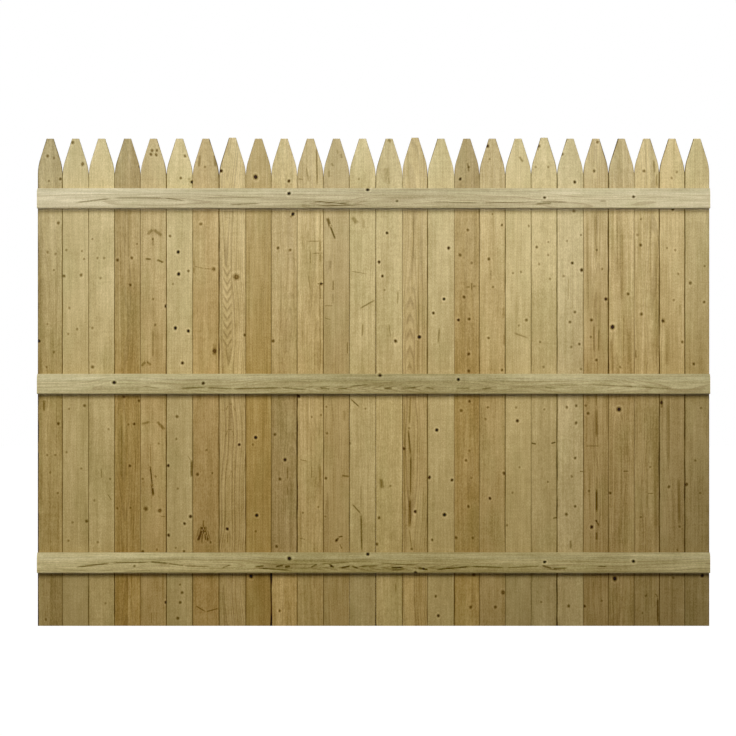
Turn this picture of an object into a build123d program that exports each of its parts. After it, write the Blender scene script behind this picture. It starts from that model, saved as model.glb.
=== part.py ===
from build123d import *

import os
from math import cos, radians, sin, tan

# A close-boarded fence panel: upright pickets with gothic heads, edge to edge, stapled to three rails.
# Millimetres. X runs along the rails, the rails face -Y, the pickets face +Y, and the feet stand on Z = 0.

INCH = 25.4

# Pickets: sawn boards of one nominal width, and what each is over it, in sixteenths of an inch, from the left
PICKET_WIDTH = 3.5 * INCH
SIXTEENTHS_OVER = (0, 4, 3, 3, 3, 4, 4, 5, 2, 3, 4, 3, 4, 5, 1, 5, 1, 3, 3, 3, 4, 1, 3, 1, 2, 0)
PICKET_THICKNESS = 5 / 8 * INCH
PICKET_LENGTH = 1770.0
PICKET_GAP = 0.4
PICKET_ARRIS = 1.2
# A few boards were cut a little longer, and their tips stand proud of the others
LONG_PICKETS = ("picket_08", "picket_15", "picket_20")
LONG_PICKET_EXTRA = 3.5

# Gothic head: a blunt tip, two straight tapers and an arc that runs into each edge
TIP_WIDTH = 25.0
TAPER_ANGLE = 17.5
HEAD_RADIUS = 194.0

# Rails: planed stock with its upper front edge bevelled, and the height of each rail's underside
RAIL_THICKNESS = 1.25 * INCH
RAIL_HEIGHT = 2.875 * INCH
RAIL_BEVEL = 14.0
RAIL_ARRIS = 2.5
RAIL_HEIGHTS = {"rail_bottom": 194.0, "rail_middle": 842.5, "rail_top": 1515.5}

# Staples: flat wire, one in each crossing, with the crown level with the back of the picket
STAPLE_CROWN = 1.0 * INCH
STAPLE_LEG = 1.5 * INCH
STAPLE_WIRE_WIDTH = 1.6
STAPLE_WIRE_THICKNESS = 1.4
STAPLE_POINT = 3.0

PICKET_WIDTHS = [PICKET_WIDTH + over * INCH / 16 for over in SIXTEENTHS_OVER]
PANEL_LENGTH = sum(PICKET_WIDTHS) + PICKET_GAP * (len(PICKET_WIDTHS) - 1)

# The joint between the rails and the pickets, with the panel's thickness centred on Y = 0
JOINT_Y = (RAIL_THICKNESS - PICKET_THICKNESS) / 2


def picket_centres():
    """X of each picket's centre line, with the run of pickets centred on X = 0."""
    centres = []
    edge = -PANEL_LENGTH / 2
    for width in PICKET_WIDTHS:
        centres.append(edge + width / 2)
        edge += width + PICKET_GAP
    return centres


def picket_length(name):
    return PICKET_LENGTH + (LONG_PICKET_EXTRA if name in LONG_PICKETS else 0.0)


def picket_face(width, length):
    """Outline of one picket in X and Z, centred on X = 0 with its foot at Z = 0."""
    half = width / 2
    half_tip = TIP_WIDTH / 2
    angle = radians(TAPER_ANGLE)
    taper_foot_x = half - HEAD_RADIUS * (1 - cos(angle))
    taper_foot_z = length - (taper_foot_x - half_tip) / tan(angle)
    shoulder_z = taper_foot_z - HEAD_RADIUS * sin(angle)
    with BuildSketch(Plane.XZ) as sketch:
        with BuildLine():
            Polyline((-half, shoulder_z), (-half, 0), (half, 0), (half, shoulder_z))
            JernArc(start=(half, shoulder_z), tangent=(0, 1), radius=HEAD_RADIUS, arc_size=TAPER_ANGLE)
            JernArc(start=(-half, shoulder_z), tangent=(0, 1), radius=HEAD_RADIUS, arc_size=-TAPER_ANGLE)
            Polyline(
                (taper_foot_x, taper_foot_z), (half_tip, length),
                (-half_tip, length), (-taper_foot_x, taper_foot_z),
            )
        make_face()
    return sketch.sketch


def make_picket(name, width, centre_x, staples):
    """One board, eased along its sides and head, sawn square at its foot, and let out for its staples."""
    face = picket_face(width, picket_length(name))
    board = extrude(face, amount=PICKET_THICKNESS, dir=(0, 1, 0))
    foot_edges = board.faces().sort_by(Axis.Z)[0].edges()
    rims = [edge for edge in board.edges() - foot_edges if abs(edge.tangent_at(0.5).Y) < 0.5]
    board = chamfer(rims, PICKET_ARRIS)
    return Pos(centre_x, JOINT_Y, 0) * board - staples


def rail_face():
    """Section of a rail in Y and Z, with its back at Y = 0 and its underside at Z = 0."""
    with BuildSketch(Plane.YZ) as sketch:
        with BuildLine():
            Polyline(
                (0, 0), (-RAIL_THICKNESS + RAIL_ARRIS, 0), (-RAIL_THICKNESS, RAIL_ARRIS),
                (-RAIL_THICKNESS, RAIL_HEIGHT - RAIL_BEVEL), (-RAIL_THICKNESS + RAIL_BEVEL, RAIL_HEIGHT),
                (0, RAIL_HEIGHT), close=True,
            )
        make_face()
    return sketch.sketch


def make_rail(underside_z, staples):
    bar = extrude(rail_face(), amount=PANEL_LENGTH / 2, both=True)
    return Pos(0, JOINT_Y, underside_z) * bar - staples


def staple():
    """One staple: crown along X at the back of a picket, legs towards -Y, ends cut to outward points."""
    half = STAPLE_CROWN / 2
    inner = half - STAPLE_WIRE_THICKNESS
    with BuildSketch(Plane.XY) as sketch:
        with BuildLine():
            Polyline(
                (-half, 0), (half, 0), (half, -STAPLE_LEG),
                (inner, -STAPLE_LEG + STAPLE_POINT), (inner, -STAPLE_WIRE_THICKNESS),
                (-inner, -STAPLE_WIRE_THICKNESS), (-inner, -STAPLE_LEG + STAPLE_POINT),
                (-half, -STAPLE_LEG), close=True,
            )
        make_face()
    return extrude(sketch.sketch, amount=STAPLE_WIRE_WIDTH / 2, both=True)


def staple_places(underside_z):
    """Where each staple's crown lies, centred on its picket and on the height of the rail."""
    back_y = JOINT_Y + PICKET_THICKNESS
    return [Pos(x, back_y, underside_z + RAIL_HEIGHT / 2) for x in picket_centres()]


def save(shape, name):
    shape.label = name
    export_step(shape, f"parts/{name}.step")


def main():
    os.makedirs("parts", exist_ok=True)
    one_staple = staple()
    rows = {}
    for name, underside_z in RAIL_HEIGHTS.items():
        rows[name] = [place * one_staple for place in staple_places(underside_z)]
        save(make_rail(underside_z, rows[name]), name)
        save(Compound(children=rows[name]), name.replace("rail", "staples"))
    boards = zip(PICKET_WIDTHS, picket_centres(), zip(*rows.values()))
    for number, (width, centre_x, through) in enumerate(boards, start=1):
        name = f"picket_{number:02d}"
        save(make_picket(name, width, centre_x, list(through)), name)


main()
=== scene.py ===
from collections import namedtuple
from math import cos, radians, sin

import bpy
import numpy as np
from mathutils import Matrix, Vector


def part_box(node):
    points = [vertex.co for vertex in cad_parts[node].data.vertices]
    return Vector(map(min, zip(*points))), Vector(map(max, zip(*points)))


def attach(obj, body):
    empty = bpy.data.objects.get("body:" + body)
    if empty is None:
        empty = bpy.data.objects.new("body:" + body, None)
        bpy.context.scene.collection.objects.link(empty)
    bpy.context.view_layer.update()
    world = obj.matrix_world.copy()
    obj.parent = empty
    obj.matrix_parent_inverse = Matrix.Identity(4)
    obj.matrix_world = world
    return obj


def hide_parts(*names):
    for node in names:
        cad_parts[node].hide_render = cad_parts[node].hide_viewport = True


# A close-boarded fence panel with gothic heads, seen from the side of its rails.
# The sawn pickets and the planed rails replace their plain solids, and the staples keep theirs.
# Metres, in the frame of the CAD: X along the rails, the rails towards -Y, the feet on Z = 0.
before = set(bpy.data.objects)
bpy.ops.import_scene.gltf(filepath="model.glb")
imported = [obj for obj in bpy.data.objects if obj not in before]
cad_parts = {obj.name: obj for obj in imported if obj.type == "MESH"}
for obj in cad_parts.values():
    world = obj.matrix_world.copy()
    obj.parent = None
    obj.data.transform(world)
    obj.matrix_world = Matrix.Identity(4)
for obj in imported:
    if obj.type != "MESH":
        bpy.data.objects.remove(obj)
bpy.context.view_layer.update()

MM = 0.001

# The photograph: its size and where it shows the panel's middle at the eye's height, all in pixels, its scale
# on the pickets' faces, and where it was taken from
PHOTO_SIZE = 736
PHOTO_CENTRE_X = 373.55
PHOTO_CENTRE_Y = 382.25
METRES_PER_PIXEL = 3.632 * MM
EYE_HEIGHT = 885 * MM
EYE_DISTANCE = 11.0

# The joint between the rails' backs and the pickets' faces
JOINT_Y = 7.9375 * MM

# Pickets, as in the CAD
PICKET_THICKNESS = 15.875 * MM
PICKET_ARRIS = 1.2 * MM
TIP_WIDTH = 25.0 * MM
TAPER_ANGLE = radians(17.5)
HEAD_RADIUS = 194.0 * MM
# The crowns of the staples stand this much proud of the sawn back
CROWN_PROUD = 0.35 * MM
PICKET_BODY = PICKET_THICKNESS - CROWN_PROUD
# Neighbouring edges swell towards each other, so that no light comes through a seam
SEAM_SWELL = 0.19 * MM

# Rails, as in the CAD
RAIL_THICKNESS = 31.75 * MM
RAIL_FACE_Y = JOINT_Y - RAIL_THICKNESS
RAIL_HEIGHT = 73.025 * MM
RAIL_BEVEL = 14.0 * MM
RAIL_ARRIS = 2.5 * MM

# Rings of the meshes: how far apart they are along a picket, in its head, which starts so far below the tip,
# and along a rail, where they lie beside a knot and in shares of a tip's arris, and the least room between
# two of them
ROW_PITCH = 10 * MM
HEAD_ROW_PITCH = 6 * MM
HEAD_ROWS_HEIGHT = 150 * MM
RAIL_ROW_PITCH = 9 * MM
KNOT_ROWS = (-6.5 * MM, -2.2 * MM, 2.2 * MM, 6.5 * MM)
TIP_ROWS = (0.13, 0.5, 1.0)
LEAST_ROW_GAP = 1.6 * MM
LEAST_END_GAP = 0.9 * MM

# Points round a picket: steps across its face and its back, over a side, and inside each rounded arris
FACE_COLUMNS = 26
BACK_COLUMNS = 10
SIDE_STEPS = 3
ARRIS_STEPS = 2
SHARP_ANGLE = radians(35)

# How far a sawn face, a planed face and the wood round a knot sink at the most
SAWN_DIP = 0.3 * MM
PLANED_DIP = 0.25 * MM
KNOT_DIP = 0.35 * MM

# Streaks: the least length that the photograph's are taken for, and how far each fades out at both ends
SHORTEST_STREAK = 3 * MM
STREAK_FADE = 1 * MM
# What a face with no mark near it keeps: a place far off in a mark that isn't dark
NO_MARK = (30.0, 30.0, 0.0)

# The heights across the bottom, the middle and the top rail, over which the seams and the light change
RAIL_BANDS = ((0.20, 0.26), (0.80, 0.92), (1.52, 1.58))

# Studio: how far the floor reaches, how pale it is to the panel and in what the camera sees of it beside its
# own white glow, how much of the room's white reaches the panel, and the width of the camera's sensor in mm
FLOOR_REACH = 30.0
FLOOR_GREY = 0.30
SHADOW_GREY = 0.12
FLOOR_GLOW = 0.985
ROOM_LIGHT = 0.24
SENSOR_WIDTH = 36.0


# Colours, as red, green and blue from 0 to 255, where the light is neither strong nor weak

STRAW = (182, 163, 116)
SAND = (180, 160, 109)
HONEY = (175, 151, 98)
PINKISH = (174, 146, 90)
TAN = (165, 141, 90)
OLIVE = (162, 141, 90)
AMBER = (160, 133, 75)
BROWN = (161, 134, 74)
RAIL_STRAW = (178, 163, 125)
RAIL_OLIVE = (179, 166, 119)
LATEWOOD = (122, 95, 44)
KNOT_HEART = (128, 92, 46)
GREENISH = (140, 134, 72)
# A pale that stands partly for fading by the weather and partly for painted sheen and highlights
BLEACH_AND_SHEEN = (250, 255, 222)
# Stands partly for moisture and partly for painted shade towards the feet, where the light falls off
DAMP_AND_SHADE = (250, 245, 226)
ZINC = (168, 171, 170)
DULL_ZINC = (126, 128, 126)
# The darkest that wood gets, from 0 to 1, and how the eye counts light
DARKEST = (0.10, 0.07, 0.03)
EYE_GAMMA = 2.2


def linear(colour):
    """A colour of 0 to 255 as the shaders take it."""
    parts = []
    for part in colour:
        part = part / 255
        parts.append(part / 12.92 if part <= 0.04045 else ((part + 0.055) / 1.055) ** 2.4)
    return (*parts, 1.0)


def grey(level):
    return (level, level, level, 1.0)


# Each board: its tone, how light it is above the middle rail and below it, and how it was cut from the tree.
# pith: how far across from its centre the heart of the tree lies, deep: how far behind its face,
# lean: how fast that depth changes along it, turn: the height where the figure turns round,
# rings: width of a year's growth, all in mm or mm per metre. figure and streaks: how strong they are.
# seam, low_seam and foot_seam: how dark the seam on its right is, above the middle rail, below it and at its
# foot. head and foot: how much lighter it is above the top rail and below the bottom rail.
Board = namedtuple(
    "Board",
    "tone light low_light pith deep lean turn rings figure streaks seam low_seam foot_seam head foot",
    defaults=(1.0, 1.0),
)
BOARDS = {
    "picket_01": Board(OLIVE, 1.05, 1.07, -38, 26, 14, 0, 6.0, 0.32, 0.8, 0.5, 0.42, 0.3, 0.96, 0.93),
    "picket_02": Board(SAND, 1.03, 1.01, 70, 30, 6, 0, 4.0, 0.22, 0.6, 0.27, 0.37, 0.45, 1, 0.95),
    "picket_03": Board(SAND, 1.02, 1, -80, 30, 6, 0, 4.0, 0.18, 0.6, 0.44, 0.32, 0.6, 1.04, 1),
    "picket_04": Board(AMBER, 0.985, 1, -8, 30, 10, 0, 5.0, 0.38, 1.2, 0.06, 0.02, 0.05, 0.96, 1.055),
    "picket_05": Board(TAN, 1.05, 1.04, 60, 34, 8, 0, 4.5, 0.28, 0.8, 0.57, 0.62, 0.5),
    "picket_06": Board(SAND, 1.005, 0.97, 75, 32, 6, 0, 4.0, 0.2, 0.6, 0.31, 0.34, 0.45, 1.04, 1),
    "picket_07": Board(PINKISH, 0.99, 0.94, -62, 30, 8, 0, 4.5, 0.28, 0.8, 0.73, 0.48, 0.45, 0.975, 1.05),
    "picket_08": Board(HONEY, 1.02, 0.98, -16, 34, -34, 900, 6.5, 0.62, 0.8, 0.27, 0.45, 0.35),
    "picket_09": Board(BROWN, 0.985, 0.995, 80, 30, 5, 0, 4.0, 0.34, 0.8, 0.21, 0.24, 1.2, 0.99, 1),
    "picket_10": Board(TAN, 1.015, 0.945, 20, 32, 12, 0, 5.0, 0.38, 0.9, 0.25, 0.84, 0.3, 1.035, 1.17),
    "picket_11": Board(HONEY, 1.0, 0.99, 30, 24, 10, 0, 5.0, 0.36, 1.0, 0.32, 0.4, 0.3, 0.95, 1),
    "picket_12": Board(HONEY, 0.93, 0.96, -30, 30, 9, 0, 4.5, 0.3, 0.8, 0.32, 0.43, 0.1, 0.98, 1),
    "picket_13": Board(SAND, 0.985, 0.99, 60, 30, 7, 0, 4.5, 0.22, 0.7, 0.5, 0.35, 0.7, 1, 0.95),
    "picket_14": Board(SAND, 0.98, 1.03, -60, 28, 7, 0, 4.5, 0.24, 0.7, 0.1, 0.24, 0.4, 0.965, 1),
    "picket_15": Board(HONEY, 0.965, 0.985, -12, 26, 24, 500, 6.0, 0.52, 1.0, 0.56, 0.55, 0.15, 1, 1.05),
    "picket_16": Board(SAND, 0.97, 0.99, 66, 34, 6, 0, 4.0, 0.2, 0.6, 0.06, 0.02, 0.6),
    "picket_17": Board(AMBER, 0.955, 0.975, 14, 34, 8, 0, 4.5, 0.3, 0.9, 0.38, 0.22, 0.35, 0.925, 1.06),
    "picket_18": Board(HONEY, 0.99, 0.98, -50, 30, 8, 0, 4.5, 0.28, 0.8, 0.55, 0.51, 0.25, 0.935, 0.98),
    "picket_19": Board(SAND, 0.995, 1, 80, 34, 6, 0, 4.0, 0.18, 0.6, 0.38, 0.25, 0.3, 0.98, 0.93),
    "picket_20": Board(SAND, 0.985, 0.97, -74, 30, 6, 0, 4.0, 0.2, 0.6, 0.64, 0.75, 0.9, 0.985, 0.95),
    "picket_21": Board(STRAW, 0.985, 0.995, 70, 30, 6, 0, 4.0, 0.2, 0.6, 0.19, 0.37, 0.05, 0.98, 1),
    "picket_22": Board(TAN, 1.015, 0.995, 0, 5, 8, 0, 4.0, 0.5, 1.3, 0.8, 0.27, 0.27, 0.975, 1),
    "picket_23": Board(TAN, 1.045, 1, -14, 28, 12, 0, 5.5, 0.38, 1.2, 0.15, 0.04, 0.25, 0.925, 1),
    "picket_24": Board(HONEY, 1.005, 0.96, 24, 28, 11, 0, 5.0, 0.42, 1.1, 0.67, 0.74, 0.5, 1, 0.98),
    "picket_25": Board(HONEY, 1.015, 0.92, -70, 34, 7, 0, 4.5, 0.26, 0.8, 0.63, 0.73, 0.35, 1.02, 1),
    "picket_26": Board(OLIVE, 1.03, 0.955, 50, 30, 8, 0, 4.5, 0.28, 0.8, 0.4, 0.4, 0.4, 1.03, 1),
    "rail_top": Board(RAIL_STRAW, 0.975, 0.975, -14, 26, 9, 0, 5.5, 0.48, 1.4, 0.0, 0.0, 0.0),
    "rail_middle": Board(RAIL_OLIVE, 0.955, 0.955, -12, 24, 12, 0, 5.5, 0.38, 1.2, 0.0, 0.0, 0.0),
    "rail_bottom": Board(RAIL_OLIVE, 1.02, 1.02, -12, 25, -11, 0, 5.5, 0.40, 1.3, 0.0, 0.0, 0.0),
}
# How dark the first board's left edge is, as a seam
FIRST_SEAM = (0.7, 1.2, 1.2)

# Knots, each with its place in the photograph in pixels. PIN to ROUND are how large one is and how dark: what
# it takes from red, green and blue alike, as the eye counts them from 0 to 1.
Size = namedtuple("Size", "radius dark")
PIN = Size(3.5 * MM, 0.165)
KNOT = Size(4.3 * MM, 0.275)
DARK = Size(4.5 * MM, 0.45)
BLACK = Size(4.6 * MM, 0.66)
SOFT = Size(6.0 * MM, 0.25)
BIG = Size(6.0 * MM, 0.56)
ROUND = Size(9.0 * MM, 0.26)
KNOTS = {
    "picket_01": (
        (47.6, 156, KNOT), (54, 158, PIN), (49, 181, PIN), (60.4, 179, KNOT), (58.3, 223, KNOT),
        (47.5, 252, PIN), (55.4, 254, PIN), (53.8, 270, PIN), (38.9, 341, DARK), (47.5, 324, PIN),
        (53.9, 352, PIN), (46.5, 367, PIN), (58.3, 423.7, KNOT), (50.3, 472.5, PIN), (57.7, 493, PIN),
        (47.1, 455, PIN), (55.1, 455, PIN), (45.9, 619.4, PIN),
    ),
    "picket_02": (
        (72.6, 142.5, KNOT), (82.6, 164, SOFT), (66.3, 250, PIN), (81.9, 251, PIN), (84, 259, PIN),
        (64.2, 276, KNOT), (81.1, 275, KNOT), (69.3, 308, PIN), (77.2, 329, PIN), (68.3, 334, PIN),
        (84.5, 405.6, KNOT), (68.9, 408.9, PIN), (66.6, 452.1, PIN), (81.3, 468.4, PIN),
        (86.6, 521.2, KNOT), (72.5, 522.4, PIN), (68.3, 540.7, PIN),
    ),
    "picket_03": (
        (92.5, 239, PIN), (97.5, 258, PIN), (104, 258, PIN), (100.6, 278, PIN), (92.5, 328, PIN),
        (92.5, 367, KNOT), (108.5, 429.2, PIN), (110.2, 479, PIN), (94.3, 500.4, PIN), (97.8, 542.2, PIN),
        (105.5, 603.4, PIN),
    ),
    "picket_04": (
        (140, 166.5, DARK), (117.5, 260, KNOT), (131.7, 258, KNOT), (130.3, 285, KNOT), (137, 244, PIN),
        (123.8, 396.8, KNOT), (139.1, 400.7, KNOT), (134.2, 424, KNOT), (128.5, 424.5, PIN),
        (129.9, 465.8, KNOT), (117.3, 508.3, PIN), (130.3, 507.7, PIN),
    ),
    "picket_05": (
        (152, 150.5, KNOT), (156.8, 150.4, KNOT), (150.9, 154.4, KNOT), (156.2, 154.8, KNOT),
        (152.7, 239, PIN), (153, 299, PIN), (155.3, 325, PIN), (166, 306, DARK), (158.6, 443.6, PIN),
        (155.6, 476.4, PIN), (142.7, 478.8, PIN), (145.9, 508.9, SOFT), (159.8, 510.6, SOFT),
        (156.8, 549.8, PIN), (142.7, 551.7, KNOT), (166, 602.3, DARK),
    ),
    "picket_06": (
        (185, 156, KNOT), (180.8, 178, KNOT), (192, 182, DARK), (170, 236, KNOT), (178.2, 252, BLACK),
        (178.7, 274, BLACK), (188.4, 271, KNOT), (173, 284, PIN), (175.4, 328, BLACK), (188.3, 331, BLACK),
        (182.4, 363, DARK), (177.1, 416.6, KNOT), (176.3, 438.9, PIN), (168.3, 465.6, DARK),
        (177.8, 488.6, PIN), (190.5, 516.5, DARK), (184.6, 523.6, DARK), (168.6, 535.2, DARK),
        (175.7, 547.8, PIN), (184, 551.3, KNOT), (180.1, 584.6, PIN), (182.2, 592.6, KNOT),
        (180.2, 602.5, KNOT), (177.8, 618.2, KNOT),
    ),
    "picket_07": (
        (205, 167, PIN), (200.8, 224, KNOT), (213.8, 269, SOFT), (214.4, 351, SOFT), (197.5, 474.3, KNOT),
        (212.3, 473.1, PIN), (206.4, 450, PIN), (210.5, 542.5, PIN),
    ),
    "picket_08": (
        (221.3, 171, DARK), (236.3, 277, ROUND), (244.6, 335, KNOT), (239.2, 444.6, DARK),
        (227.4, 528.9, DARK),
    ),
    "picket_09": (
        (255.6, 177, BIG), (255.7, 437.5, BLACK), (252.8, 444.6, PIN), (256.7, 515.3, BLACK),
        (255.7, 531.3, PIN), (251, 576.3, BIG),
    ),
    "picket_10": (
        (288.9, 181, DARK), (292.9, 214, DARK), (277.9, 248, KNOT), (290.2, 250, KNOT), (273.2, 341, KNOT),
        (275, 434.5, KNOT), (285, 459.7, DARK), (279.9, 479, KNOT), (276.6, 546.4, KNOT),
        (279.6, 610.8, KNOT),
    ),
    "picket_11": (
        (321, 284, KNOT), (298.8, 396.2, DARK), (311.8, 417, PIN), (302.9, 512.7, PIN), (318.3, 507, PIN),
        (321, 415, PIN),
    ),
    "picket_12": (
        (326.5, 406.8, PIN), (327.1, 433.3, PIN), (325.9, 478.2, KNOT), (325.3, 516.5, PIN),
        (336.2, 540.6, KNOT),
    ),
    "picket_13": ((359, 179, PIN), (365.5, 408.6, PIN), (350.4, 443.4, PIN)),
    "picket_14": (
        (387, 233, DARK), (379, 262, DARK), (382.4, 276, DARK), (384.6, 290, PIN), (395.5, 341, DARK),
        (379.6, 375, DARK), (390.3, 486, PIN), (379, 517.7, KNOT), (376.9, 544.2, KNOT),
    ),
    "picket_15": (
        (419.4, 337, BLACK), (409.3, 428.3, PIN), (404, 448.6, KNOT), (415.2, 511.5, DARK),
        (411.6, 549, PIN),
    ),
    "picket_16": (
        (448.6, 248, DARK), (444, 299, BLACK), (433.4, 313, DARK), (436.8, 430, BLACK),
        (429.4, 477.4, DARK), (452, 480, DARK), (444.5, 514.7, BLACK), (432.2, 539.9, KNOT),
        (435.7, 596.2, KNOT), (438.3, 615.7, DARK),
    ),
    "picket_17": (
        (460.2, 179, DARK), (469, 167, PIN), (467.8, 230, KNOT), (460, 255, KNOT), (471.6, 263, PIN),
        (464, 297, KNOT), (458.4, 320, DARK), (469.2, 319, KNOT), (468.7, 354, KNOT), (468.7, 371, KNOT),
        (461.3, 410.5, KNOT), (469.5, 401.3, KNOT), (469.3, 450.7, PIN), (466.1, 460.4, KNOT),
        (471.5, 477.9, PIN), (468.4, 506.4, KNOT), (456, 537.6, KNOT), (472.8, 537.9, PIN),
        (473.9, 574.6, KNOT), (470.7, 607.1, KNOT),
    ),
    "picket_18": (
        (487.6, 146, DARK), (489.6, 159, PIN), (492.5, 214, PIN), (501.9, 225, KNOT), (488.8, 259, KNOT),
        (493, 287, PIN), (488.5, 338, KNOT), (502, 370, KNOT), (487.9, 407.4, PIN), (485.6, 419.1, PIN),
        (489.9, 498.3, DARK), (503.9, 473.3, KNOT), (503, 592.5, SOFT), (495.4, 607.1, KNOT),
    ),
    "picket_19": (
        (528.9, 226, PIN), (513, 273, PIN), (521, 272, PIN), (526.4, 320, KNOT), (518.9, 325.5, PIN),
        (516, 407.4, PIN), (517.4, 420.8, DARK), (519.5, 467.3, PIN), (512.6, 492.6, PIN),
        (507, 525.3, PIN),
    ),
    "picket_20": (
        (539, 146, KNOT), (535.8, 167, PIN), (548.3, 167, PIN), (536.7, 247, KNOT), (548.4, 242, PIN),
        (548.2, 255, PIN), (539.2, 264, PIN), (550, 279, PIN), (540, 342, PIN), (543.6, 367, PIN),
        (547.9, 481.9, PIN), (544.4, 409.3, PIN), (541.3, 602, PIN),
    ),
    "picket_21": (
        (562.3, 154, KNOT), (574.7, 182, DARK), (573.8, 211, KNOT), (581, 235, PIN), (567, 241, PIN),
        (572.3, 263, DARK), (581.6, 270, DARK), (563.7, 276, PIN), (574.8, 312, KNOT), (569.9, 322, KNOT),
        (579.4, 344, KNOT), (571.2, 347, PIN), (581, 369, PIN), (566.8, 407.3, KNOT), (576.2, 405.8, KNOT),
        (576, 422.9, KNOT), (575.2, 458.1, KNOT), (571.7, 476.3, PIN), (575.2, 506.3, KNOT),
        (566.3, 514.3, KNOT), (568.6, 606, KNOT),
    ),
    "picket_22": (
        (597.4, 142, KNOT), (594, 171, KNOT), (596.7, 250, PIN), (602.2, 269, PIN), (605.8, 299, DARK),
        (591.5, 320, KNOT), (590.7, 337, PIN), (596.3, 360, KNOT), (588.2, 413.4, KNOT),
        (585.8, 405.6, PIN), (591.7, 527, DARK), (596, 521, PIN), (589, 491, PIN), (584.7, 606.2, KNOT),
        (602, 600.8, PIN),
    ),
    "picket_23": (
        (628, 294, KNOT), (612.5, 327, BIG), (620, 367, PIN), (619, 409.3, BIG), (610.1, 493, KNOT),
        (614.8, 578.7, BIG),
    ),
    "picket_24": (
        (644, 171, KNOT), (641, 219, PIN), (637.4, 235, PIN), (640.7, 245, KNOT), (641.5, 314, KNOT),
        (640.9, 517.2, PIN), (650.3, 467, PIN), (646, 595.7, PIN), (642.4, 613, PIN),
    ),
    "picket_25": (
        (676.9, 172, PIN), (671.6, 178, PIN), (667, 248, PIN), (675.2, 250, PIN), (678.3, 274, PIN),
        (674, 300, PIN), (663, 321, KNOT), (682.3, 342, KNOT), (672.8, 209, DARK), (661.4, 402.6, KNOT),
        (668.9, 486.9, KNOT), (679.6, 526.7, PIN), (677.4, 550, PIN), (673.3, 577.8, PIN),
    ),
    "picket_26": (
        (690.3, 283, KNOT), (704.2, 302, KNOT), (704.6, 266, PIN), (693.8, 364, KNOT), (701, 408, PIN),
        (695.3, 460.4, PIN), (700.2, 493, PIN), (686.6, 484.4, KNOT), (702.3, 575.6, DARK),
    ),
    "rail_top": (
        (289, 193.4, BLACK), (367.7, 189.6, BLACK), (397, 201, KNOT), (544.6, 197.6, DARK),
        (633.5, 196.7, DARK),
    ),
    "rail_middle": ((114.2, 382.5, BLACK), (203.2, 383.2, DARK), (380, 375.4, DARK), (458.4, 379.5, BLACK)),
    "rail_bottom": (
        (289.4, 558.4, BIG), (367.8, 554.3, BLACK), (134.4, 566.1, KNOT), (331, 566.3, PIN),
        (423.6, 568.7, PIN), (415.6, 572.3, DARK), (544.7, 562, BLACK), (633.5, 561.3, BLACK),
    ),
}

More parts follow.
